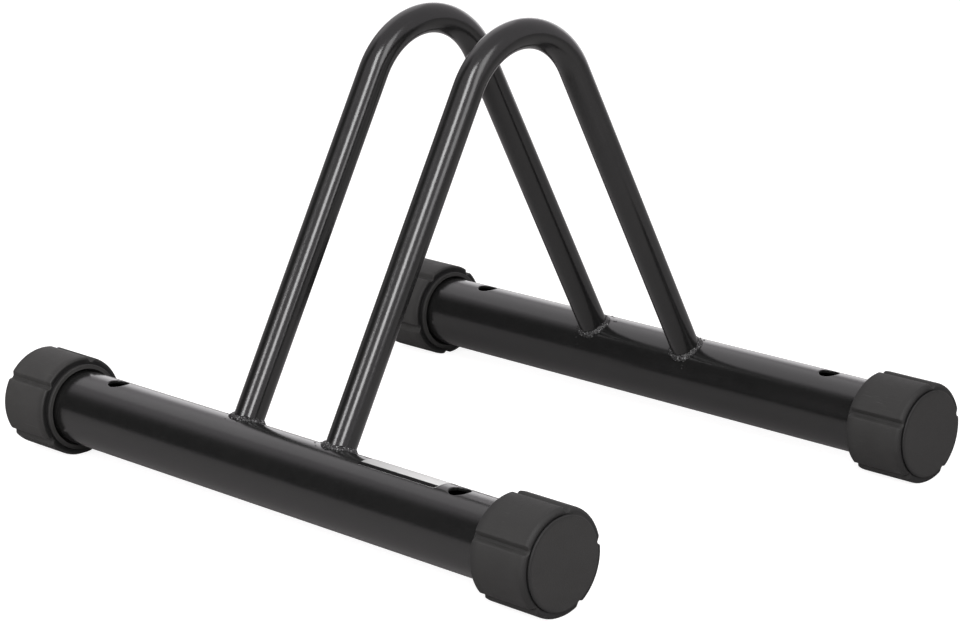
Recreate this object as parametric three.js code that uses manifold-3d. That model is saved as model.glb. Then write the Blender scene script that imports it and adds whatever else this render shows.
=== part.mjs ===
// Floor bike rack: two bent wheel hoops welded across two base tubes that stand on rubber end caps.
// Millimetres, +Z up. The origin is on the floor, midway between the base tubes and between their ends.
// X runs along the base tubes, and the front tube is at -Y. Angles around a base tube are in degrees:
// 0 faces -Y (the front) and 90 faces up.
import * as THREE from 'three';
import { mergeVertices } from 'three/addons/utils/BufferGeometryUtils.js';
import Module from 'manifold-3d';

const wasm = await Module();
wasm.setup();

// ---------------------------------------------------------------- driving dimensions

const OVERALL_LENGTH = 495; // outer face to outer face of the end caps
const OVERALL_HEIGHT = 306.3;
const TUBE_SPACING = 349; // between the axes of the two base tubes
const FIT_GAP = 0.3; // between pieces that meet
const OVERCUT = 1; // how far a cutting shape stands past what it cuts

const BASE_DIAMETER = 50;
const BASE_WALL = 2;

const HOOP_DIAMETER = 20;
const HOOP_WALL = 1.5;
const HOOP_BEND_RADIUS = 55; // of the centreline at the top
const WHEEL_SLOT = 67.6; // clear width between the two hoops

const WELD_SIZE = 3.8; // leg of the fillet weld
const WELD_RIPPLE = 0.3;
const WELD_RIPPLES = 12; // around one hoop leg

const ANCHOR_SPACING = 324; // between the two floor anchor holes of a base tube
const ANCHOR_TOP_DIAMETER = 14; // lets the bolt's head and a socket in
const ANCHOR_BOTTOM_DIAMETER = 10;

const SLEEVE_WALL = 4; // rubber sleeve around the base tube's end
const SLEEVE_PAST_PADS = 3; // the sleeve's mouth stands this far past the pads
const SLEEVE_RECESS = 1; // the mouth is this much wider than the bore
const SLEEVE_EDGE = 0.8; // chamfer on the sleeve's two ends
const CAP_END_WALL = 4.5;
const PAD_HEIGHT = 4.5; // outward from the sleeve
const PAD_LENGTH = 44; // from the end face to the end of the pads
const PAD_SET_BACK = 1.2; // the pads start this far behind the end face
const PAD_SHOULDER = 3; // radius of the pads' rounded edge at the closed end
const PAD_CHAMFER = 0.8; // at the mouth end of the pads
const PAD_COUNT = 5;
const GROOVE_WIDTH = 5.8; // between two pads
const GROOVE_DRAFT = 2.2; // each side leans in by this much over the groove's depth
const GROOVE_SKIN = 0.3; // rubber left on the sleeve in a groove
const FOOT_FLAT_DEPTH = 0.5; // the rubber's flat where it rests on the floor

const LABEL_LENGTH = 68;
const LABEL_THICKNESS = 0.3;
const LABEL_FROM_HOLE = 8; // from the label's end to the edge of the anchor hole
const LABEL_FROM_ANGLE = 75;
const LABEL_TO_ANGLE = 140;

// Each cap is pushed on at its own angle: the direction of one of its grooves.
const CAP_TURN = { front_left: 35.5, front_right: 26, rear_left: -15, rear_right: 23 };

// Facets around each round shape.
const BASE_SIDES = 48;
const HOOP_SIDES = 20;
const CAP_SIDES = 48;
const HOLE_SIDES = 20;
const WELD_STEPS = 48;
const WELD_SIDES = 8;
const BEND_STEPS = 14;
const SHOULDER_STEPS = 3;
const LABEL_STEPS = 8;

// ---------------------------------------------------------------- sizes that follow

const BASE_RADIUS = BASE_DIAMETER / 2;
const HOOP_RADIUS = HOOP_DIAMETER / 2;
const BORE_RADIUS = BASE_RADIUS + FIT_GAP;
const SLEEVE_RADIUS = BORE_RADIUS + SLEEVE_WALL;
const PAD_RADIUS = SLEEVE_RADIUS + PAD_HEIGHT;
const SLEEVE_LENGTH = PAD_LENGTH + SLEEVE_PAST_PADS;
const AXIS_HEIGHT = PAD_RADIUS - FOOT_FLAT_DEPTH;
const BASE_LENGTH = OVERALL_LENGTH - 2 * (CAP_END_WALL + FIT_GAP);
const HOOP_X = (WHEEL_SLOT + HOOP_DIAMETER) / 2;
const HALF_SPACING = TUBE_SPACING / 2;

// Heights from here on are above the base tubes' axes. The hoop's legs aim at these axes and run
// tangent into the bend.
const BEND_CENTRE = OVERALL_HEIGHT - AXIS_HEIGHT - HOOP_RADIUS - HOOP_BEND_RADIUS;
const LEG_LEAN = Math.atan2(HALF_SPACING, BEND_CENTRE)
  - Math.asin(HOOP_BEND_RADIUS / Math.hypot(HALF_SPACING, BEND_CENTRE));

// ---------------------------------------------------------------- helpers

const radians = THREE.MathUtils.degToRad;

// A closed surface through a loop of rings that have the same number of points each.
function closedGrid(rings) {
  const sides = rings[0].length;
  const corner = (ring, side) => (ring % rings.length) * sides + (side % sides);
  const index = [];
  for (let i = 0; i < rings.length; i += 1) {
    for (let j = 0; j < sides; j += 1) {
      const [a, b, c, d] = [corner(i, j), corner(i + 1, j), corner(i + 1, j + 1), corner(i, j + 1)];
      index.push(a, b, c, a, c, d);
    }
  }
  const geometry = new THREE.BufferGeometry();
  const points = rings.flat().flatMap((point) => point.toArray());
  geometry.setAttribute('position', new THREE.Float32BufferAttribute(points, 3));
  geometry.setIndex(index);
  return geometry;
}

function toSolid(geometry) {
  const bare = geometry.clone();
  bare.deleteAttribute('normal');
  bare.deleteAttribute('uv');
  const merged = mergeVertices(bare);
  const vertProperties = new Float32Array(merged.attributes.position.array);
  const triVerts = new Uint32Array(merged.index.array);
  return new wasm.Manifold(new wasm.Mesh({ numProp: 3, vertProperties, triVerts }));
}

function toGeometry(solid) {
  const mesh = solid.getMesh();
  const geometry = new THREE.BufferGeometry();
  geometry.setAttribute('position', new THREE.Float32BufferAttribute(mesh.vertProperties, 3));
  geometry.setIndex(Array.from(mesh.triVerts));
  geometry.computeVertexNormals();
  return geometry;
}

function cut(geometry, cutters) {
  const solid = cutters.reduce((rest, cutter) => rest.subtract(toSolid(cutter)), toSolid(geometry));
  return toGeometry(solid);
}

function rodAlongX(radius, length, sides) {
  return new THREE.CylinderGeometry(radius, radius, length, sides).rotateZ(Math.PI / 2);
}

// ---------------------------------------------------------------- base tubes

function baseTube() {
  const bore = rodAlongX(BASE_RADIUS - BASE_WALL, BASE_LENGTH + 2 * OVERCUT, BASE_SIDES);
  const holes = [-1, 1].flatMap((side) => {
    const x = side * ANCHOR_SPACING / 2;
    const top = new THREE.CylinderGeometry(
      ANCHOR_TOP_DIAMETER / 2, ANCHOR_TOP_DIAMETER / 2, BASE_DIAMETER, HOLE_SIDES);
    const bottom = new THREE.CylinderGeometry(
      ANCHOR_BOTTOM_DIAMETER / 2, ANCHOR_BOTTOM_DIAMETER / 2, BASE_DIAMETER, HOLE_SIDES);
    return [
      top.rotateX(Math.PI / 2).translate(x, 0, BASE_RADIUS),
      bottom.rotateX(Math.PI / 2).translate(x, 0, -BASE_RADIUS),
    ];
  });
  return cut(rodAlongX(BASE_RADIUS, BASE_LENGTH, BASE_SIDES), [bore, ...holes]);
}

// ---------------------------------------------------------------- hoops

// Points and normals of the hoop's centreline in its own plane, from the front tube's axis over the
// bend to the rear tube's axis.
function hoopCentreline() {
  const bendAngle = Math.PI / 2 - LEG_LEAN;
  const stations = [{ y: -HALF_SPACING, z: 0, angle: -bendAngle }];
  for (let i = 0; i <= BEND_STEPS; i += 1) {
    const angle = bendAngle * (2 * i / BEND_STEPS - 1);
    const y = HOOP_BEND_RADIUS * Math.sin(angle);
    const z = BEND_CENTRE + HOOP_BEND_RADIUS * Math.cos(angle);
    stations.push({ y, z, angle });
  }
  stations.push({ y: HALF_SPACING, z: 0, angle: bendAngle });
  return stations;
}

function hoopRing(station, radius) {
  return Array.from({ length: HOOP_SIDES }, (_, i) => {
    const around = 2 * Math.PI * i / HOOP_SIDES;
    const out = radius * Math.sin(around);
    return new THREE.Vector3(
      radius * Math.cos(around),
      station.y + out * Math.sin(station.angle),
      station.z + out * Math.cos(station.angle),
    );
  });
}

function hoop() {
  const stations = hoopCentreline();
  const outside = stations.map((station) => hoopRing(station, HOOP_RADIUS));
  const inside = stations.map((station) => hoopRing(station, HOOP_RADIUS - HOOP_WALL));
  const saddles = [-1, 1].map((end) => (
    rodAlongX(BASE_RADIUS + FIT_GAP, 4 * HOOP_DIAMETER, BASE_SIDES).translate(0, end * HALF_SPACING, 0)
  ));
  return cut(closedGrid([...outside, ...inside.reverse()]), saddles);
}

// ---------------------------------------------------------------- welds

// A rippled fillet around a hoop leg, built at the base tube's axis with the leg leaning by lean.
function weld(lean) {
  const along = new THREE.Vector3(0, Math.sin(lean), Math.cos(lean));
  const across = new THREE.Vector3(0, Math.cos(lean), -Math.sin(lean));
  const rings = Array.from({ length: WELD_STEPS }, (_, i) => {
    const around = 2 * Math.PI * i / WELD_STEPS;
    const size = WELD_SIZE + WELD_RIPPLE * Math.cos(WELD_RIPPLES * around);
    const outward = new THREE.Vector3(Math.cos(around), 0, 0).addScaledVector(across, Math.sin(around));
    const height = Math.sqrt(BASE_RADIUS ** 2 - (HOOP_RADIUS * Math.sin(around)) ** 2);
    const corner = outward.clone().multiplyScalar(HOOP_RADIUS).addScaledVector(along, height);
    return Array.from({ length: WELD_SIDES }, (_, j) => {
      const turn = 2 * Math.PI * j / WELD_SIDES;
      return corner.clone()
        .addScaledVector(outward, size * Math.cos(turn))
        .addScaledVector(along, size * Math.sin(turn));
    });
  });
  const leg = new THREE.CylinderGeometry(
    HOOP_RADIUS + FIT_GAP, HOOP_RADIUS + FIT_GAP, 2 * BASE_DIAMETER, HOOP_SIDES);
  leg.rotateX(Math.PI / 2 - lean);
  const base = rodAlongX(BASE_RADIUS + FIT_GAP, 4 * HOOP_DIAMETER, BASE_SIDES);
  return cut(closedGrid(rings), [leg, base]);
}

// ---------------------------------------------------------------- end caps

// Half of the cap's section: distances in from the closed end's face, and radii.
function capProfile() {
  const mouthRadius = BORE_RADIUS + SLEEVE_RECESS;
  const shoulder = Array.from({ length: SHOULDER_STEPS + 1 }, (_, i) => {
    const turn = Math.PI / 2 * i / SHOULDER_STEPS;
    return [
      PAD_SET_BACK + PAD_SHOULDER * (1 - Math.cos(turn)),
      PAD_RADIUS - PAD_SHOULDER * (1 - Math.sin(turn)),
    ];
  });
  const section = [
    [0, 0],
    [0, SLEEVE_RADIUS - SLEEVE_EDGE],
    [SLEEVE_EDGE, SLEEVE_RADIUS],
    [PAD_SET_BACK, SLEEVE_RADIUS],
    ...shoulder,
    [PAD_LENGTH - PAD_CHAMFER, PAD_RADIUS],
    [PAD_LENGTH, PAD_RADIUS - PAD_CHAMFER],
    [PAD_LENGTH, SLEEVE_RADIUS],
    [SLEEVE_LENGTH - SLEEVE_EDGE, SLEEVE_RADIUS],
    [SLEEVE_LENGTH, SLEEVE_RADIUS - SLEEVE_EDGE],
    [SLEEVE_LENGTH, mouthRadius],
    [PAD_LENGTH, mouthRadius],
    [PAD_LENGTH - SLEEVE_RECESS, BORE_RADIUS],
    [CAP_END_WALL, BORE_RADIUS],
    [CAP_END_WALL, 0],
  ];
  return section.map(([along, radius]) => new THREE.Vector2(radius, along));
}

// A bar that cuts one groove between two pads, all along the cap.
function grooveCutter(angle) {
  const top = PAD_RADIUS + OVERCUT;
  const floor = SLEEVE_RADIUS + GROOVE_SKIN;
  const floorHalf = GROOVE_WIDTH / 2 - GROOVE_DRAFT;
  const topHalf = floorHalf + GROOVE_DRAFT * (top - floor) / (PAD_RADIUS - floor);
  const outline = new THREE.Shape([
    new THREE.Vector2(-topHalf, top),
    new THREE.Vector2(-floorHalf, floor),
    new THREE.Vector2(floorHalf, floor),
    new THREE.Vector2(topHalf, top),
  ]);
  const length = 2 * (SLEEVE_LENGTH + OVERCUT);
  const bar = new THREE.ExtrudeGeometry(outline, { depth: length, bevelEnabled: false });
  return bar.translate(0, 0, -length / 2).rotateY(Math.PI / 2).rotateX(Math.PI - radians(angle));
}

// The cap around the base tube's axis, with its closed end at x = 0 and the tube towards inward.
function endCap(inward, turn) {
  const body = new THREE.LatheGeometry(capProfile(), CAP_SIDES).rotateZ(-Math.PI / 2);
  if (inward < 0) {
    body.rotateY(Math.PI);
  }
  const grooves = Array.from({ length: PAD_COUNT }, (_, i) => grooveCutter(turn + 360 * i / PAD_COUNT));
  const floor = new THREE.BoxGeometry(2 * (SLEEVE_LENGTH + OVERCUT), 2 * PAD_RADIUS, PAD_RADIUS);
  floor.translate(0, 0, -AXIS_HEIGHT - PAD_RADIUS / 2);
  return cut(body, [...grooves, floor]);
}

// ---------------------------------------------------------------- label

// A blank sticker that curves over the top of the front base tube.
function label() {
  const inner = BASE_RADIUS + FIT_GAP;
  const outer = inner + LABEL_THICKNESS;
  const from = radians(LABEL_FROM_ANGLE);
  const to = radians(LABEL_TO_ANGLE);
  const outline = new THREE.Shape();
  outline.absarc(0, 0, outer, from, to, false);
  outline.absarc(0, 0, inner, to, from, true);
  const strip = new THREE.ExtrudeGeometry(outline, {
    depth: LABEL_LENGTH, bevelEnabled: false, curveSegments: LABEL_STEPS,
  });
  // Turned so that the outline's angles open from -Y through +Z and the strip runs along -X.
  return strip.rotateY(-Math.PI / 2).rotateX(Math.PI / 2);
}

// ---------------------------------------------------------------- assembly

const paint = () => new THREE.MeshStandardMaterial({ color: 0x17181a, roughness: 0.3, metalness: 0.0 });
const bead = () => new THREE.MeshStandardMaterial({ color: 0x222426, roughness: 0.4, metalness: 0.1 });
const rubber = () => new THREE.MeshStandardMaterial({ color: 0x2b2a2b, roughness: 0.8, metalness: 0.0 });
const paper = () => new THREE.MeshStandardMaterial({ color: 0xd2d2d0, roughness: 0.6, metalness: 0.0 });

const rack = new THREE.Group();
rack.position.set(0, 0, AXIS_HEIGHT);

function add(name, geometry, material, x, y) {
  const mesh = new THREE.Mesh(geometry, material);
  mesh.name = name;
  mesh.position.set(x, y, 0);
  rack.add(mesh);
}

const ROWS = [['front', -1], ['rear', 1]];
const SIDES = [['left', -1], ['right', 1]];

for (const [row, y] of ROWS) {
  add(`${row}_base_tube`, baseTube(), paint(), 0, y * HALF_SPACING);
  for (const [side, x] of SIDES) {
    const place = `${row}_${side}`;
    add(`weld_${place}`, weld(-y * LEG_LEAN), bead(), x * HOOP_X, y * HALF_SPACING);
    add(`end_cap_${place}`, endCap(-x, CAP_TURN[place]), rubber(), x * OVERALL_LENGTH / 2, y * HALF_SPACING);
  }
}
for (const [side, x] of SIDES) {
  add(`${side}_hoop`, hoop(), paint(), x * HOOP_X, 0);
}
const labelEnd = (ANCHOR_SPACING - ANCHOR_TOP_DIAMETER) / 2 - LABEL_FROM_HOLE;
add('blank_label', label(), paper(), labelEnd, -HALF_SPACING);

export default rack;
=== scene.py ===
from math import asin, atan2, cos, degrees, hypot, pi, radians, sin, sqrt

import bmesh
import bpy
import numpy as np
from mathutils import Matrix, Vector


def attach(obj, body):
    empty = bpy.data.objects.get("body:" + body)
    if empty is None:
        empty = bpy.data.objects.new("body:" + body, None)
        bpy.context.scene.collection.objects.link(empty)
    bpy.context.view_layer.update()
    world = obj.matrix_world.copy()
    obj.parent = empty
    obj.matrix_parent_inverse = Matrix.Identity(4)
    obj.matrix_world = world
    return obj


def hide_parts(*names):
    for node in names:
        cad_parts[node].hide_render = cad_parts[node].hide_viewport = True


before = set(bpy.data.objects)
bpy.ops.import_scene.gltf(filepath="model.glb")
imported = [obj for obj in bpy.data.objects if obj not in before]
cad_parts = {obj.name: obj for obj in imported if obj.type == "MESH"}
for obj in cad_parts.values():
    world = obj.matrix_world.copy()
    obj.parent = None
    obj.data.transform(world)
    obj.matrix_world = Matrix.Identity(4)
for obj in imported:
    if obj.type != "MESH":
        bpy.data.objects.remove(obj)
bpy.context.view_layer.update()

# Lengths of the part are in millimetres, in the part's frame. Everywhere else (materials, floor, camera and
# lamps) they are in metres. Angles around a base tube: 0 faces -Y, the front, and 90 faces up.
MM = 0.001
OVERALL_LENGTH = 495.0
OVERALL_HEIGHT = 306.3
HALF_SPACING = 174.5
FIT_GAP = 0.3
AXIS_Z = 33.3  # of the base tubes

BASE_R = 25.0
BASE_BORE_R = 23.0
ANCHOR_X = 162.0
ANCHOR_TOP_R = 7.0
ANCHOR_BOTTOM_R = 5.0

HOOP_R = 10.0
HOOP_BORE_R = 8.5
HOOP_X = 43.8
BEND_R = 55.0

CAP_WALL = 4.5
CAP_BORE_R = 25.3
CAP_MOUTH_R = 26.3
SLEEVE_R = 29.3
SLEEVE_LENGTH = 47.0
PAD_R = 33.8
PAD_LENGTH = 44.0
GROOVE_R = 29.6
CAP_TURN = {"front_left": 35.5, "front_right": 26.0, "rear_left": -15.0, "rear_right": 23.0}

HALF_TUBE = OVERALL_LENGTH / 2 - CAP_WALL - FIT_GAP
BEND_Z = OVERALL_HEIGHT - AXIS_Z - HOOP_R - BEND_R  # of the bend's centre, above the base tubes' axes
LEAN = atan2(HALF_SPACING, BEND_Z) - asin(BEND_R / hypot(HALF_SPACING, BEND_Z))
LEG = sqrt(HALF_SPACING ** 2 + BEND_Z ** 2 - BEND_R ** 2)

ROWS = {"front": -1, "rear": 1}
SIDES = {"left": -1, "right": 1}


# ---------------------------------------------------------------- mesh helpers

MERGE_DISTANCE = 2e-6
DEGENERATE_DISTANCE = 1e-7


class Patchwork:
    """Grids of points that share their edges, joined into one mesh."""

    def __init__(self):
        self.points = []
        self.faces = []
        self.slots = []
        self.painted_light = []
        self.count = 0

    def grid(self, rows, close_rows=False, close_columns=False, flip=False, keep=None, slot=None,
             painted_light=None):
        """Add rows, an array (n, m, 3) of points.

        keep(i, j) says which cells are made and slot(i, j) their material. The last argument is each point's
        painted light, from -1 for painted shade to 1 for a painted highlight.
        """
        n, m = rows.shape[:2]
        start = self.count
        self.points.append(rows.reshape(-1, 3))
        self.painted_light.append(np.zeros(n * m) if painted_light is None else painted_light.reshape(-1))
        self.count += n * m
        for i in range(n if close_rows else n - 1):
            for j in range(m if close_columns else m - 1):
                if keep is not None and not keep(i, j):
                    continue
                a = start + i * m + j
                b = start + ((i + 1) % n) * m + j
                c = start + ((i + 1) % n) * m + (j + 1) % m
                d = start + i * m + (j + 1) % m
                self.faces.append((a, d, c, b) if flip else (a, b, c, d))
                self.slots.append(slot(i, j) if slot else 0)

    def build(self, name, materials, sharp, node, body):
        """Make one piece of the scene, whose edges are sharp from that many degrees on."""
        points = np.concatenate(self.points) * MM
        mesh = bpy.data.meshes.new(name)
        mesh.from_pydata([tuple(p) for p in points.tolist()], [], self.faces)
        for material in materials:
            mesh.materials.append(material)
        mesh.polygons.foreach_set("material_index", self.slots)
        # Each point's painted light for the shader: painted shade below 0, a painted highlight above.
        layer = mesh.attributes.new("painted_light", "FLOAT", "POINT")
        layer.data.foreach_set("value", np.concatenate(self.painted_light).astype(np.float32))
        bm = bmesh.new()
        bm.from_mesh(mesh)
        bmesh.ops.remove_doubles(bm, verts=bm.verts, dist=MERGE_DISTANCE)
        bmesh.ops.dissolve_degenerate(bm, edges=bm.edges, dist=DEGENERATE_DISTANCE)
        bmesh.ops.recalc_face_normals(bm, faces=bm.faces)
        bm.to_mesh(mesh)
        bm.free()
        mesh.polygons.foreach_set("use_smooth", [True] * len(mesh.polygons))
        mesh.set_sharp_from_angle(angle=radians(sharp))
        mesh.update()
        piece = bpy.data.objects.new(name, mesh)
        bpy.context.scene.collection.objects.link(piece)
        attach(piece, body)
        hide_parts(node)


def on_tube(x, radius, angle, row):
    """Points around a base tube's axis, from x, radius and angle in radians, broadcast together."""
    x, radius, angle = np.broadcast_arrays(x, radius, angle)
    y = row * HALF_SPACING - radius * np.cos(angle)
    return np.stack([x, y, AXIS_Z + radius * np.sin(angle)], axis=-1)


def leg_axes(row, side):
    """Where a hoop leg's axis meets the base tube's, the way up along the leg, and the way outward from it."""
    start = np.array([side * HOOP_X, row * HALF_SPACING, AXIS_Z])
    along = np.array([0, -row * sin(LEAN), cos(LEAN)])
    outward = np.array([0, row * cos(LEAN), sin(LEAN)])
    return start, along, outward


# ---------------------------------------------------------------- node helpers

class Nodes:
    """A material's or the world's node tree, with short calls for what is used here."""

    def __init__(self, owner):
        owner.use_nodes = True
        self.tree = owner.node_tree
        self.tree.nodes.clear()

    def new(self, kind, **inputs):
        """A shader node and the values of its inputs, in whose names an underscore stands for a space."""
        node = self.tree.nodes.new("ShaderNode" + kind)
        for name, value in inputs.items():
            node.inputs[name.replace("_", " ")].default_value = value
        return node

    def link(self, source, target):
        self.tree.links.new(source, target)

    def coordinates(self, space="Object"):
        return self.new("TexCoord").outputs[space]

    def split(self, vector):
        node = self.new("SeparateXYZ")
        self.link(vector, node.inputs[0])
        return node.outputs

    def stretched(self, vector, scale):
        node = self.new("Mapping", Scale=scale)
        self.link(vector, node.inputs["Vector"])
        return node.outputs["Vector"]

    def noise(self, vector, scale, detail, roughness):
        node = self.new("TexNoise", Scale=scale, Detail=detail, Roughness=roughness)
        self.link(vector, node.inputs["Vector"])
        return node.outputs["Fac"]

    def span(self, value, source, target, smooth=False):
        """The value, moved from the source's range to the target's and kept inside it."""
        node = self.new("MapRange", From_Min=source[0], From_Max=source[1],
                        To_Min=target[0], To_Max=target[1])
        node.interpolation_type = "SMOOTHSTEP" if smooth else "LINEAR"
        self.link(value, node.inputs["Value"])
        return node.outputs["Result"]

    def math(self, operation, *values):
        node = self.new("Math")
        node.operation = operation
        for socket, value in zip(node.inputs, values):
            if isinstance(value, (int, float)):
                socket.default_value = value
            else:
                self.link(value, socket)
        return node.outputs[0]

    def mix(self, factor, a, b):
        """Colour a where the factor is 0 and b where it is 1."""
        node = self.new("Mix")
        node.data_type = "RGBA"
        # A Mix node has sockets for each kind of data: the factor is 0, the two colours are 6 and 7.
        for i, value in ((6, a), (7, b)):
            if isinstance(value, tuple):
                node.inputs[i].default_value = value
            else:
                self.link(value, node.inputs[i])
        self.link(factor, node.inputs[0])
        return node.outputs[2]

    def bump(self, height, distance, normal=None):
        node = self.new("Bump", Distance=distance)
        self.link(height, node.inputs["Height"])
        if normal is not None:
            self.link(normal, node.inputs["Normal"])
        return node.outputs["Normal"]

    def attribute(self, name):
        node = self.new("Attribute")
        node.attribute_name = name
        return node.outputs["Fac"]

    def surface(self, shader, output="OutputMaterial"):
        self.link(shader.outputs[0], self.new(output).inputs["Surface"])


def grey(value, warm=0.0):
    return (value * (1 + warm), value, value * (1 - warm), 1.0)


# ---------------------------------------------------------------- materials

WHOLE = (0, 1)


def start_material(name, ior):
    """A new material, its node tree, its coordinates and its Principled shader."""
    material = bpy.data.materials.new(name)
    t = Nodes(material)
    place = t.coordinates()
    shader = t.new("BsdfPrincipled", IOR=ior)
    t.surface(shader)
    return material, t, place, shader


def powder_coat():
    """Satin black powder coat: orange peel, fine grain, and slight mottling."""
    material, t, place, shader = start_material("powder_coat", ior=1.5)
    mottle = t.noise(place, scale=55, detail=3, roughness=0.6)
    specks = t.span(t.noise(place, scale=2600, detail=1, roughness=0.5), (0.62, 0.72), WHOLE)
    base = t.mix(mottle, grey(0.005), grey(0.008, 0.02))
    t.link(t.mix(t.math("MULTIPLY", specks, 0.3), base, grey(0.05)), shader.inputs["Base Color"])
    gloss = t.noise(place, scale=120, detail=3, roughness=0.6)
    t.link(t.span(gloss, (0.3, 0.7), (0.17, 0.21)), shader.inputs["Roughness"])
    peel = t.bump(t.noise(place, scale=330, detail=2, roughness=0.5), 0.000028)
    grain = t.noise(place, scale=1050, detail=2, roughness=0.6)
    t.link(t.bump(grain, 0.000018, peel), shader.inputs["Normal"])
    return material


def weld_paint():
    """The same black over the weld's lumps, with bright specks painted in as glints off the lumps."""
    material, t, place, shader = start_material("weld_coat", ior=1.5)
    lumps = t.noise(place, scale=420, detail=3, roughness=0.6)
    specks = t.span(t.noise(place, scale=750, detail=2, roughness=0.6), (0.62, 0.68), WHOLE)
    base = t.mix(lumps, grey(0.004), grey(0.012))
    # Painted glints: the pale specks in the colour stand in for highlights off the lumps.
    t.link(t.mix(t.math("MULTIPLY", specks, 0.75), base, grey(0.4)), shader.inputs["Base Color"])
    t.link(t.span(lumps, (0.3, 0.7), (0.12, 0.3)), shader.inputs["Roughness"])
    rough = t.bump(lumps, 0.0013)
    grain = t.noise(place, scale=1300, detail=2, roughness=0.6)
    t.link(t.bump(grain, 0.00022, rough), shader.inputs["Normal"])
    return material


def rubber(name, tone):
    """Matte black rubber: mottled bloom, fine grain, scuffs along the cap, painted highlights on edges, painted
    shade in creases.
    """
    material, t, place, shader = start_material(name, ior=1.42)
    bloom = t.noise(place, scale=70, detail=4, roughness=0.62)
    # tone scales this base colour per cap, which is painted light: lighter for the caps that are lit more.
    base = t.mix(t.span(bloom, (0.32, 0.68), WHOLE), grey(0.022 * tone, 0.04), grey(0.03 * tone, 0.03))
    streaks = t.noise(t.stretched(place, (60, 1500, 1500)), scale=1.0, detail=3, roughness=0.7)
    patches = t.noise(place, scale=60, detail=2, roughness=0.5)
    scuffs = t.math("MULTIPLY", t.span(streaks, (0.6, 0.72), WHOLE), t.span(patches, (0.5, 0.65), WHOLE))
    scuffed = t.mix(t.math("MULTIPLY", scuffs, 0.3), base, grey(0.11))
    # Painted light per point: above 0 a patchy painted highlight, below 0 painted shade.
    painted_light = t.attribute("painted_light")
    uneven = t.span(t.noise(place, scale=260, detail=3, roughness=0.6), (0.35, 0.65), (0.2, 1))
    painted_light_amount = t.math("MULTIPLY", t.math("MAXIMUM", painted_light, 0.0), uneven)
    painted_shade = t.math("MULTIPLY", t.math("MINIMUM", painted_light, 0.0), -1.0)
    highlighted = t.mix(t.math("MULTIPLY", painted_light_amount, 0.3), scuffed, grey(0.13))
    t.link(t.mix(painted_shade, highlighted, grey(0.003)), shader.inputs["Base Color"])
    t.link(t.span(bloom, (0.3, 0.7), (0.62, 0.78)), shader.inputs["Roughness"])
    grain = t.bump(t.noise(place, scale=900, detail=3, roughness=0.65), 0.00008)
    t.link(t.bump(streaks, 0.00005, grain), shader.inputs["Normal"])
    return material


def sticker():
    """Satin paper film with a faint tooth, a little grime, and the hoop's painted shadow over its end nearest the
    hoop.
    """
    tone, spread = 0.53, 0.02
    material, t, place, shader = start_material("sticker", ior=1.45)
    grime = t.noise(place, scale=90, detail=4, roughness=0.6)
    paper = t.mix(grime, grey(tone - spread, 0.01), grey(tone + spread, 0.01))
    # Painted shadow of the hoop: the paper darkens towards its end nearest the hoop.
    hoop_shadow = t.span(t.split(place)[0], (0.079, 0.135), (0.45, 0))
    t.link(t.mix(hoop_shadow, paper, grey(tone * 0.35)), shader.inputs["Base Color"])
    t.link(t.span(grime, (0.3, 0.7), (0.42, 0.52)), shader.inputs["Roughness"])
    tooth = t.noise(place, scale=1400, detail=2, roughness=0.6)
    t.link(t.bump(tooth, 0.00002), shader.inputs["Normal"])
    return material


def dark_strip():
    """A dull black for the strip along the sticker's lower edge."""
    material, t, place, shader = start_material("sticker_border", ior=1.15)
    mottle = t.noise(place, scale=400, detail=3, roughness=0.6)
    t.link(t.mix(mottle, grey(0.003), grey(0.006)), shader.inputs["Base Color"])
    gloss = t.noise(place, scale=300, detail=2, roughness=0.5)
    t.link(t.span(gloss, (0.3, 0.7), (0.6, 0.75)), shader.inputs["Roughness"])
    return material


COAT = powder_coat()
WELD = weld_paint()
# Painted light: each cap's rubber colour is scaled by how brightly that cap is lit, lighter on the left pair.
CAP_PAINTED_LIGHT = {"front_left": 1.08, "front_right": 0.6, "rear_left": 1.0, "rear_right": 0.66}
RUBBER = {place: rubber(f"rubber_{place}", tone) for place, tone in CAP_PAINTED_LIGHT.items()}
PAPER = sticker()
DARK_STRIP = dark_strip()


# ---------------------------------------------------------------- base tubes

TUBE_SIDES = 144
TUBE_STEP = 2 * pi / TUBE_SIDES
TUBE_EDGE_LENGTH, TUBE_EDGE_DEPTH = 0.5, 0.4  # the broken edge at each end, along the tube and inwards
END_SPANS, MIDDLE_SPANS = 4, 8  # cells along the tube outside and between the anchor holes' patches
ANCHOR_HOLES = [(x, up, hole_r) for x in (-ANCHOR_X, ANCHOR_X)
                for up, hole_r in ((1, ANCHOR_TOP_R), (-1, ANCHOR_BOTTOM_R))]
# A hole's patch: the grid's columns on each side of the hole, half its length, and cells along each side.
PATCH_REACH = 9
PATCH_HALF_X = 10.5
PATCH_STEPS = 2 * PATCH_REACH
HOLE_EDGE = 0.6  # radius of a hole's rounded outer edge


def tube_stations():
    """Where the rings of a base tube stand along x."""
    stations = [-HALF_TUBE, -HALF_TUBE + TUBE_EDGE_LENGTH]
    for hole_x, spans in ((-ANCHOR_X, END_SPANS), (ANCHOR_X, MIDDLE_SPANS)):
        stations += list(np.linspace(stations[-1], hole_x - PATCH_HALF_X, spans + 1)[1:])
        stations += list(hole_x + np.linspace(-PATCH_HALF_X, PATCH_HALF_X, PATCH_STEPS + 1)[1:])
    stations += list(np.linspace(stations[-1], HALF_TUBE - TUBE_EDGE_LENGTH, END_SPANS + 1)[1:])
    return np.array(stations + [HALF_TUBE])


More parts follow.
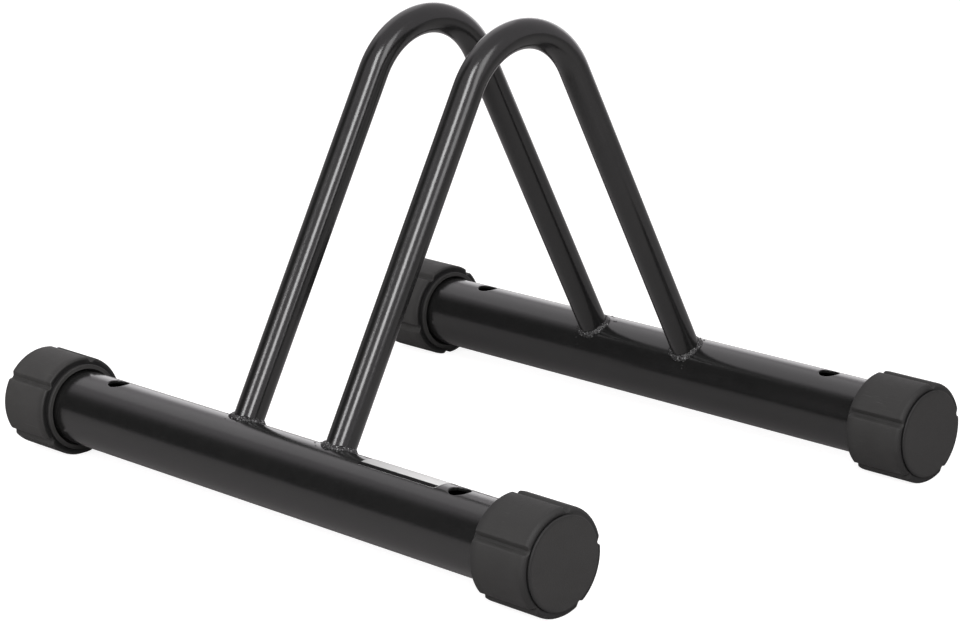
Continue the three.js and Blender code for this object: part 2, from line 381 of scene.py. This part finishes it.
def base_tube(row_name, row):
    work = Patchwork()
    # Columns start so that the top (90 degrees) and the bottom (270) fall on grid lines.
    angles = np.arange(TUBE_SIDES) * TUBE_STEP
    top, bottom = TUBE_SIDES // 4, 3 * TUBE_SIDES // 4
    stations = tube_stations()

    def keep(i, j):
        middle = (stations[i] + stations[i + 1]) / 2
        near = min(abs(middle - ANCHOR_X), abs(middle + ANCHOR_X)) < PATCH_HALF_X
        return not (near and any(line - PATCH_REACH <= j < line + PATCH_REACH for line in (top, bottom)))

    for radius, outer in ((BASE_R, True), (BASE_BORE_R, False)):
        radii = np.full(len(stations), radius)
        if outer:
            radii[[0, -1]] -= TUBE_EDGE_DEPTH
        rows = on_tube(stations[:, None], radii[:, None], angles[None, :], row)
        work.grid(rows, close_columns=True, flip=not outer, keep=keep)
        for x, up, hole_r in ANCHOR_HOLES:
            patch = hole_patch(x, up, hole_r, radius, outer, row)
            work.grid(patch, close_columns=True, flip=(up > 0) != outer)
    # The walls of the four holes, between the outer and the inner skin.
    for x, up, hole_r in ANCHOR_HOLES:
        skins = [hole_patch(x, up, hole_r, radius, outer, row)[-1]
                 for radius, outer in ((BASE_R, True), (BASE_BORE_R, False))]
        work.grid(np.stack(skins), close_columns=True)
    for end in (0, -1):
        rim = [on_tube(stations[end], r, angles, row) for r in (BASE_R - TUBE_EDGE_DEPTH, BASE_BORE_R)]
        work.grid(np.stack(rim), close_columns=True)
    work.build(f"{row_name}_tube_skin", [COAT], sharp=30, node=f"{row_name}_base_tube", body="rack_frame")


def hole_patch(hole_x, up, hole_r, radius, outer, row):
    """Rings from the grid's square around an anchor hole to the hole, as seen from above."""
    edge = HOLE_EDGE if outer else 0.0
    side = np.linspace(-1, 1, PATCH_STEPS + 1)
    across = radius * np.sin(side * PATCH_REACH * TUBE_STEP)
    along = side * PATCH_HALF_X
    square = np.concatenate([
        np.stack([along[:-1], np.full(PATCH_STEPS, across[0])], 1),
        np.stack([np.full(PATCH_STEPS, along[-1]), across[:-1]], 1),
        np.stack([along[:0:-1], np.full(PATCH_STEPS, across[-1])], 1),
        np.stack([np.full(PATCH_STEPS, along[0]), across[:0:-1]], 1),
    ])
    turn = np.arctan2(square[:, 1] / across[-1], square[:, 0] / PATCH_HALF_X)
    circle = np.stack([np.cos(turn), np.sin(turn)], 1)
    # Each ring as seen from above, and how far it is below the tube's surface.
    rings = []
    for t in (0, 0.3, 0.55, 0.75, 0.9, 1):
        rings.append(((1 - t) * square + t * circle * (hole_r + edge), 0.0))
    if outer:
        for turned in (18, 36, 54, 72, 90):
            a = radians(turned)
            rings.append((circle * (hole_r + edge * (1 - sin(a))), edge * (1 - cos(a))))
    out = []
    for flat, below in rings:
        height = np.sqrt(radius ** 2 - flat[:, 1] ** 2) - below
        y = row * HALF_SPACING + flat[:, 1] * up
        out.append(np.stack([hole_x + flat[:, 0], y, AXIS_Z + up * height], 1))
    return np.array(out)


for row_name, row in ROWS.items():
    base_tube(row_name, row)


# ---------------------------------------------------------------- hoops

HOOP_SIDES = 96
LEG_STATIONS = np.concatenate([[30.0], np.linspace(36, LEG, 18)])  # along a leg, from the base tube's axis
BEND_RINGS = 73
FOOT_GAP = 0.05  # between a leg's foot and the base tube


def hoop(side_name, side):
    around = np.arange(HOOP_SIDES) * 2 * pi / HOOP_SIDES
    work = Patchwork()
    feet = []
    for radius, flip in ((HOOP_R, False), (HOOP_BORE_R, True)):

        def ring(centre, outward):
            return (centre + (radius * np.sin(around))[:, None] * outward
                    + (radius * np.cos(around))[:, None] * np.array([1.0, 0, 0]))

        def leg_ring(s, row):
            start, along, outward = leg_axes(row, side)
            return ring(start + np.broadcast_to(s, around.shape)[:, None] * along, outward)

        # The foot follows the base tube's round surface.
        foot = np.sqrt((BASE_R + FOOT_GAP) ** 2 - (radius * np.sin(around)) ** 2)
        rings = [leg_ring(foot, -1)]
        rings += [leg_ring(s, -1) for s in LEG_STATIONS]
        bend = pi / 2 - LEAN
        for turn in np.linspace(-bend, bend, BEND_RINGS)[1:-1]:
            centre = np.array([side * HOOP_X, BEND_R * sin(turn), AXIS_Z + BEND_Z + BEND_R * cos(turn)])
            rings.append(ring(centre, np.array([0, sin(turn), cos(turn)])))
        rings += [leg_ring(s, 1) for s in LEG_STATIONS[::-1]]
        rings.append(leg_ring(foot, 1))
        work.grid(np.array(rings), close_columns=True, flip=flip)
        feet.append((rings[0], rings[-1]))
    for end in (0, 1):
        work.grid(np.stack([feet[0][end], feet[1][end]]), close_columns=True)
    work.build(f"{side_name}_hoop_skin", [COAT], sharp=40, node=f"{side_name}_hoop", body="rack_frame")


for side_name, side in SIDES.items():
    hoop(side_name, side)


# ---------------------------------------------------------------- welds

BEAD_SIDES = 264
BEAD_SECTIONS = 22  # points across the bead, one of them at its root
BEAD_SIZE = 2.25  # the bead's radius between scallops
BEAD_OVERLAP = 28  # degrees that the bead goes on into the leg and into the tube
BEAD_ROOT = 0.6
SCALLOPS = 17
SCALLOP_HEIGHT = 0.6
SCALLOP_WIDTH = 1.25  # over the distance between two scallops
SWELL_HEIGHT = 0.8
DROPS = 9
DROP_OFF = (14.2, 17.5)  # from the leg's axis
DROP_R = (0.35, 0.7)
DROP_RINGS, DROP_SIDES = 7, 12
FIRST_SEED, SEED_STEP = 11, 7


def weld(place, row, side, seed):
    """A bead of overlapping scallops around a hoop leg's foot, with a little spatter beside it."""
    rng = np.random.default_rng(seed)
    around = np.arange(BEAD_SIDES) * 2 * pi / BEAD_SIDES
    middles = (np.arange(SCALLOPS) + rng.uniform(-0.4, 0.4, SCALLOPS)) * 2 * pi / SCALLOPS
    weights = rng.uniform(0.3, 1.1, SCALLOPS)
    apart = np.abs((around[:, None] - middles[None, :] + pi) % (2 * pi) - pi)
    mounds = np.sqrt(np.clip(1 - (apart / (SCALLOP_WIDTH * pi / SCALLOPS)) ** 2, 0, 1)) * weights
    ripple = mounds.max(axis=1)
    swell = sum(rng.uniform(0.1, 0.3) * np.cos(k * around + rng.uniform(0, 2 * pi)) for k in (2, 3, 5))
    size = BEAD_SIZE + SCALLOP_HEIGHT * ripple + SWELL_HEIGHT * swell
    start, along, across = leg_axes(row, side)
    # Four phases are drawn and three used; with three drawn, the drops below would land elsewhere.
    phases = rng.uniform(0, 2 * pi, (4,))
    rings = []
    for a, bead_r in zip(around, size):
        outward = np.array([cos(a), 0, 0]) + across * sin(a)
        height = sqrt(BASE_R ** 2 - (HOOP_R * sin(a)) ** 2)
        corner = start + outward * HOOP_R + along * height
        droop = asin(abs(HOOP_R * sin(a)) / BASE_R * abs(sin(a)))
        overlap = radians(BEAD_OVERLAP)
        fan = np.linspace(-droop - overlap, pi / 2 + overlap, BEAD_SECTIONS - 1)
        ring = []
        for turn in fan:
            grain = (0.14 * sin(9 * a + 3.1 * turn + phases[0]) + 0.12 * sin(31 * a - 4.7 * turn + phases[1])
                     + 0.06 * sin(67 * a + 7.3 * turn + phases[2]))
            # Fuller towards the toes of the bead, flatter across its face.
            face = 1 - 0.16 * np.exp(-((turn - (pi / 4 - droop / 2)) / 0.55) ** 2)
            r = (bead_r + grain) * face
            ring.append(corner + r * (cos(turn) * outward + sin(turn) * along))
        ring.append(corner - BEAD_ROOT * outward - BEAD_ROOT * along)
        rings.append(ring)
    work = Patchwork()
    work.grid(np.array(rings), close_rows=True, close_columns=True)
    for _ in range(DROPS):
        a = rng.uniform(0, 2 * pi)
        off = rng.uniform(*DROP_OFF)
        flat_x, flat_a = off * cos(a), off * sin(a)
        # The spot on the tube under that point of the leg's own plan.
        height = sqrt(BASE_R ** 2 - flat_a ** 2)
        spot = start + np.array([flat_x, 0, 0]) + across * flat_a + along * height
        drop(work, spot, rng.uniform(*DROP_R))
    work.build(f"weld_bead_{place}", [WELD], sharp=80, node=f"weld_{place}", body="rack_frame")


def drop(work, centre, radius):
    """A small ball of spatter, half sunk in the tube."""
    polar = np.linspace(0, pi, DROP_RINGS)[:, None]
    azimuth = np.arange(DROP_SIDES)[None, :] * 2 * pi / DROP_SIDES
    ball = np.stack(np.broadcast_arrays(np.sin(polar) * np.cos(azimuth), np.sin(polar) * np.sin(azimuth),
                                        np.cos(polar)), axis=-1)
    work.grid(centre + radius * ball, close_columns=True)


seed = FIRST_SEED
for row_name, row in ROWS.items():
    for side_name, side in SIDES.items():
        weld(f"{row_name}_{side_name}", row, side, seed)
        seed += SEED_STEP


# ---------------------------------------------------------------- end caps

PADS = 5
PAD_PITCH = 72  # degrees from groove to groove
PAD_COLUMNS = 20
GROOVE_MIDDLE_R = 31.7  # where the groove's widths are measured
GROOVE_STANDS = 0.35  # of the pad's height, at the groove's floor
# Across one groove: millimetres from its middle, and how much of the way up to the pad's height it is there.
GROOVE = np.array([(0, 0), (0.5, 0.0), (0.75, 0.04), (1.0, 0.14), (1.5, 0.36), (2.0, 0.59), (2.4, 0.77),
                   (2.62, 0.87), (2.8, 0.93), (3.0, 0.97), (3.3, 0.99), (3.7, 1.0)])
# Painted light across one groove: painted shade along its bottom, a painted highlight on the pads' edges.
GROOVE_PAINTED_LIGHT = (0.2, 0.6, 2.5, 2.9, 4.0), (-0.4, 0, 0, 0.15, 0)
GROOVES_FROM = 1.2  # from the closed face
NO_PAINTED_LIGHT_R = 26.0  # inside this radius, there is no painted light
CREASE_BEARING = 15  # degrees around the cap where the crease around the end face is deepest and its painted shade darkest
CREASE_LEFT = 0.35  # of the crease's depth, where it has faded out


def arc(centre, radius, start, end, steps, painted_light):
    """A rounded edge in the cap's section, as rows of distance from the closed face, radius and painted light."""
    return [(centre[0] + radius * cos(radians(a)), centre[1] + radius * sin(radians(a)), painted_light)
            for a in np.linspace(start, end, steps + 1)]


def cap_section():
    """The cap's half section: distance from the closed face, radius and painted light of each point (painted
    shade below 0, a painted highlight above).
    """
    # The closed face and its rounded edge, with painted shade darkening towards the edge.
    points = [(0.0, 0.0, 0), (0.0, 9.0, 0), (0.0, 18.0, 0), (0.0, 24.0, 0), (0.0, 26.4, 0), (0.0, 27.4, -0.3)]
    points += arc((0.9, 28.3), 0.9, 180, 90, 5, -0.6)
    # The crease between the closed face and the pads' rounded shoulder, and the shoulder, in painted shade that
    # lightens towards the pads.
    points += [(1.25, 28.9, -0.6), (1.5, 28.2, -1), (1.9, 27.9, -1), (2.2, 28.4, -1), (1.8, 29.4, -0.9),
               (1.35, 30.2, -0.8)]
    points += [(s, r, -0.7 + 0.06 * k) for k, (s, r, _) in enumerate(arc((4.2, 30.8), 3.0, 172, 90, 9, 0))]
    # The pads, and the step from their ends down to the sleeve's mouth: painted shade on the pads' ends, the step
    # and the sleeve, and a painted highlight on the mouth's inner edge.
    points += [(s, PAD_R, 0.0) for s in (8, 14, 20, 26, 32, 38)]
    points += arc((PAD_LENGTH - 1.2, PAD_R - 1.2), 1.2, 90, 0, 4, -0.4)
    points += [(PAD_LENGTH - 0.2, 31.8, -0.9), (PAD_LENGTH - 0.8, 30.2, -1), (PAD_LENGTH - 0.9, 29.2, -1),
               (PAD_LENGTH - 0.4, 28.9, -1), (PAD_LENGTH + 0.6, SLEEVE_R - 0.1, -1),
               (PAD_LENGTH + 1.2, SLEEVE_R, -0.6), (SLEEVE_LENGTH - 0.9, SLEEVE_R, -0.4)]
    points += arc((SLEEVE_LENGTH - 0.6, SLEEVE_R - 0.6), 0.6, 90, 0, 4, -0.4)
    points += arc((SLEEVE_LENGTH - 0.5, CAP_MOUTH_R + 0.5), 0.5, 0, -90, 3, 0.2)
    # The bore.
    points += [(PAD_LENGTH + 0.4, CAP_MOUTH_R, 0), (PAD_LENGTH - 1, CAP_BORE_R, 0), (30.0, CAP_BORE_R, 0),
               (15.0, CAP_BORE_R, 0), (CAP_WALL + 0.6, CAP_BORE_R, 0), (CAP_WALL, CAP_BORE_R - 0.6, 0),
               (CAP_WALL, 12.0, 0), (CAP_WALL, 0.0, 0)]
    return np.array(points)


def end_cap(place, row, side):
    degrees_per_mm = degrees(1 / GROOVE_MIDDLE_R)
    half = GROOVE[-1, 0] * degrees_per_mm
    # The columns of one pad, in degrees from the middle of the groove before it.
    offsets = list(GROOVE[:, 0] * degrees_per_mm)
    offsets += list(np.linspace(half, PAD_PITCH - half, PAD_COLUMNS)[1:-1])
    offsets += [PAD_PITCH - g for g in GROOVE[:0:-1, 0] * degrees_per_mm]
    offsets = np.array(offsets)
    nearest = np.minimum(offsets, PAD_PITCH - offsets) / degrees_per_mm
    standing = GROOVE_STANDS + (1 - GROOVE_STANDS) * np.interp(nearest, GROOVE[:, 0], GROOVE[:, 1])
    # The grooves' painted light, for each column.
    edge = np.interp(nearest, *GROOVE_PAINTED_LIGHT)
    turns = np.concatenate([offsets + PAD_PITCH * k for k in range(PADS)])
    angles = radians(CAP_TURN[place]) + np.radians(turns)
    standing = np.tile(standing, PADS)[None, :]
    edge = np.tile(edge, PADS)[None, :]
    reach, radius, painted_light_amount = (column[:, None] for column in cap_section().T)
    outside = (radius > GROOVE_R) & (reach > GROOVES_FROM)
    radii = np.where(outside, GROOVE_R + (radius - GROOVE_R) * standing, radius)
    painted_light = np.where(outside, painted_light_amount * standing + edge, painted_light_amount)
    painted_light = np.where(radius < NO_PAINTED_LIGHT_R, 0, painted_light)
    # The crease around the end face is deep and in painted shade towards the front, and both fade out towards the
    # rear.
    crease = np.clip((np.cos(angles - radians(CREASE_BEARING)) + 0.3) / 0.6, 0, 1)[None, :]
    near_crease = (reach < 2.5) & (radius > 26.5) & (radius < 30.0)
    reach = np.where(near_crease, reach * (CREASE_LEFT + (1 - CREASE_LEFT) * crease), reach)
    painted_light = np.where(near_crease, painted_light * crease, painted_light)
    points = on_tube(side * (OVERALL_LENGTH / 2 - reach), radii, angles[None, :], row)
    # The rubber rests flat on the floor.
    points[..., 2] = np.maximum(points[..., 2], 0.0)
    work = Patchwork()
    work.grid(points, close_columns=True, flip=side > 0, painted_light=np.clip(painted_light, -1, 1))
    work.build(f"rubber_cap_{place}", [RUBBER[place]], sharp=50, node=f"end_cap_{place}", body=f"cap_{place}")


for row_name, row in ROWS.items():
    for side_name, side in SIDES.items():
        end_cap(f"{row_name}_{side_name}", row, side)


# ---------------------------------------------------------------- blank sticker

STICKER_LEFT, STICKER_RIGHT = 79.0, 147.0
STICKER_LOW, STICKER_HIGH = 75.0, 140.0  # degrees around the front base tube
STICKER_CORNER = 2.0
STICKER_BORDER = 3.6
STICKER_COLUMNS = 68
STICKER_TOP, STICKER_UNDER = 0.22, 0.04  # above the tube


def blank_sticker():
    """A thin pale strip over the tube's top, with rounded corners and a dark border on its lower edge."""
    height = radians(STICKER_HIGH - STICKER_LOW) * BASE_R
    # Rows up the strip, closer together at its rounded corners, with one at the border's edge.
    v = np.unique(np.concatenate([
        np.linspace(0, STICKER_CORNER, 9),
        [STICKER_BORDER],
        np.linspace(STICKER_CORNER, height - STICKER_CORNER, 40),
        np.linspace(height - STICKER_CORNER, height, 9),
    ]))
    u = np.linspace(-1, 1, STICKER_COLUMNS)
    into_corner = np.clip(STICKER_CORNER - np.minimum(v, height - v), 0, None)
    inset = STICKER_CORNER - np.sqrt(np.clip(STICKER_CORNER ** 2 - into_corner ** 2, 0, None))
    half = (STICKER_RIGHT - STICKER_LEFT) / 2 - inset
    x = (STICKER_RIGHT + STICKER_LEFT) / 2 + half[:, None] * u[None, :]
    angle = radians(STICKER_LOW) + v[:, None] / BASE_R
    top, under = (on_tube(x, BASE_R + above, angle, ROWS["front"]) for above in (STICKER_TOP, STICKER_UNDER))

    def paper_or_dark_strip(i, j):
        return 1 if v[i + 1] <= STICKER_BORDER else 0

    work = Patchwork()
    work.grid(top, slot=paper_or_dark_strip)
    work.grid(under, flip=True)
    for edge_top, edge_under in ((top[0], under[0]), (top[-1], under[-1]), (top[:, 0], under[:, 0]),
                                 (top[:, -1], under[:, -1])):
        work.grid(np.stack([edge_top, edge_under]))
    work.build("sticker_film", [PAPER, DARK_STRIP], sharp=50, node="blank_label", body="rack_frame")


blank_sticker()


# ---------------------------------------------------------------- camera

CAMERA_BEARING, CAMERA_RISE, CAMERA_ROLL = 45.101, 15.013, -0.2875  # degrees
CAMERA_TARGET = (0.012961, -0.009264, 0.111822)
CAMERA_DISTANCE = 2.019348
PICTURE_WIDTH = 960  # pixels, which the next two lines count in
FOCAL_LENGTH = 3058.67
SHIFT_X, SHIFT_Y = 1.211, -4.151
SENSOR_WIDTH = 36


def toward(bearing, rise):
    """The direction at radians around from the front, -Y, towards +X, and radians up."""
    return Vector((sin(bearing) * cos(rise), -cos(bearing) * cos(rise), sin(rise)))


def set_camera():
    back = toward(radians(CAMERA_BEARING), radians(CAMERA_RISE))
    roll = radians(CAMERA_ROLL)
    right = (-back).cross(Vector((0, 0, 1))).normalized()
    up = right.cross(-back).normalized()
    turned_right = cos(roll) * right + sin(roll) * up
    turned_up = -sin(roll) * right + cos(roll) * up
    data = bpy.data.cameras.new("camera")
    data.sensor_width = SENSOR_WIDTH
    data.lens = FOCAL_LENGTH / PICTURE_WIDTH * SENSOR_WIDTH
    data.shift_x = SHIFT_X / PICTURE_WIDTH
    data.shift_y = SHIFT_Y / PICTURE_WIDTH
    data.clip_end = 100
    camera = bpy.data.objects.new("camera", data)
    camera.matrix_world = (Matrix.Translation(Vector(CAMERA_TARGET) + back * CAMERA_DISTANCE)
                           @ Matrix((turned_right, turned_up, back)).transposed().to_4x4())
    bpy.context.scene.collection.objects.link(camera)
    bpy.context.scene.camera = camera


set_camera()


# ---------------------------------------------------------------- floor, world and lights

FLOOR_HALF = 12  # metres
FLOOR_COLOUR = (0.435, 0.415, 0.42, 1)
FLOOR_GLOW = 0.85  # to the camera
FLOOR_BOUNCE = 0.1  # in reflections
TUBE_PAINTED_SHADE = (0.012, 0.07)  # metres from under a base tube's axis, over which the painted shade in reflections gives way to the bounce
WALL = (0.82, 0.78, 0.815, 1)
WING = (0.41, 0.39, 0.4, 1)
OPENING = grey(0.06)
FILL_LIGHT = grey(0.5)  # on matte surfaces
LAMPS_AIM = (0, 0, 0.15)


def seen_ray(t):
    """1 for rays from the camera, and 1 for rays off gloss or through glass."""
    path = t.new("LightPath")
    shiny = t.math("MAXIMUM", path.outputs["Is Glossy Ray"], path.outputs["Is Transmission Ray"])
    return path.outputs["Is Camera Ray"], shiny


def set_floor():
    """A floor that shows white to the camera, glows a little in reflections except for painted shade under the
    base tubes, and keeps the rack's soft shadow.
    """
    material = bpy.data.materials.new("floor_white")
    t = Nodes(material)
    camera, shiny = seen_ray(t)
    diffuse = t.new("BsdfDiffuse", Color=FLOOR_COLOUR)
    glow = t.new("Emission", Color=(1, 1, 1, 1))
    # Painted shade: in reflections the floor's glow fades out towards under a base tube, so the floor there is
    # darker than the open floor.
    from_middle = t.math("ABSOLUTE", t.split(t.coordinates())[1])
    away = t.math("ABSOLUTE", t.math("SUBTRACT", from_middle, HALF_SPACING * MM))
    bounce = t.math("MULTIPLY", shiny, t.span(away, TUBE_PAINTED_SHADE, (0, FLOOR_BOUNCE)))
    t.link(t.math("ADD", t.math("MULTIPLY", camera, FLOOR_GLOW), bounce), glow.inputs["Strength"])
    both = t.new("AddShader")
    t.link(diffuse.outputs[0], both.inputs[0])
    t.link(glow.outputs[0], both.inputs[1])
    t.surface(both)
    mesh = bpy.data.meshes.new("floor")
    s = FLOOR_HALF
    mesh.from_pydata([(-s, -s, 0), (s, -s, 0), (s, s, 0), (-s, s, 0)], [], [(0, 1, 2, 3)])
    mesh.materials.append(material)
    floor = bpy.data.objects.new("floor", mesh)
    bpy.context.scene.collection.objects.link(floor)


def set_world():
    """A white studio with a dark opening at the front left, which the tubes mirror as their dark band."""
    world = bpy.data.worlds.new("studio")
    bpy.context.scene.world = world
    t = Nodes(world)
    camera, shiny = seen_ray(t)
    x, y, z = t.split(t.coordinates("Generated"))
    # Degrees around from the front, -Y, towards +X, and degrees up.
    bearing = t.math("MULTIPLY", t.math("ARCTAN2", x, t.math("SUBTRACT", 0, y)), degrees(1))
    rise = t.math("MULTIPLY", t.math("ARCSINE", z), degrees(1))
    # The opening's left edge leans.
    leaning = t.math("SUBTRACT", bearing, t.math("MULTIPLY", rise, 0.2))
    left = t.span(leaning, (-84, -62), (0, 1), smooth=True)
    right = t.span(bearing, (-38, -26), (1, 0), smooth=True)
    low = t.span(rise, (-3, 3), (0, 1), smooth=True)
    high = t.span(rise, (50, 60), (1, 0), smooth=True)
    opening = t.math("MULTIPLY", t.math("MULTIPLY", left, right), t.math("MULTIPLY", low, high))
    # A low grey wing stands to the left of the opening.
    wing_left = t.span(bearing, (-128, -112), (0, 1), smooth=True)
    wing_right = t.span(bearing, (-76, -60), (1, 0), smooth=True)
    wing_top = t.span(rise, (14, 34), (1, 0), smooth=True)
    wing = t.math("MULTIPLY", wing_left, t.math("MULTIPLY", wing_right, wing_top))
    seen = t.mix(opening, t.mix(wing, WALL, WING), OPENING)
    lit = t.mix(shiny, FILL_LIGHT, seen)
    background = t.new("Background", Strength=1.0)
    t.link(t.mix(camera, lit, grey(1.0)), background.inputs["Color"])
    t.surface(background, "OutputWorld")


def softbox(name, bearing, rise, size, radiance, distance=3.0):
    """A rectangular lamp that faces the rack, at degrees around from the front and degrees up."""
    away = toward(radians(bearing), radians(rise))
    data = bpy.data.lights.new(name, "AREA")
    data.shape = "RECTANGLE"
    data.size, data.size_y = size
    data.energy = radiance * pi * size[0] * size[1]
    light = bpy.data.objects.new(name, data)
    light.location = Vector(LAMPS_AIM) + away * distance
    light.rotation_euler = away.to_track_quat("Z", "Y").to_euler()
    light.visible_camera = False
    bpy.context.scene.collection.objects.link(light)


set_floor()
set_world()
softbox("key", bearing=42, rise=33, size=(0.42, 1.15), radiance=12.5, distance=1.6)
softbox("second", bearing=-8, rise=21, size=(0.55, 0.56), radiance=13, distance=2.1)
softbox("side", bearing=86, rise=28, size=(0.42, 1.0), radiance=4.1, distance=1.25)
softbox("above", bearing=-112, rise=48, size=(2.4, 1.8), radiance=0.45)
softbox("back", bearing=-145, rise=10, size=(3.2, 1.3), radiance=0.9)
bpy.context.scene.view_settings.view_transform = "Standard"
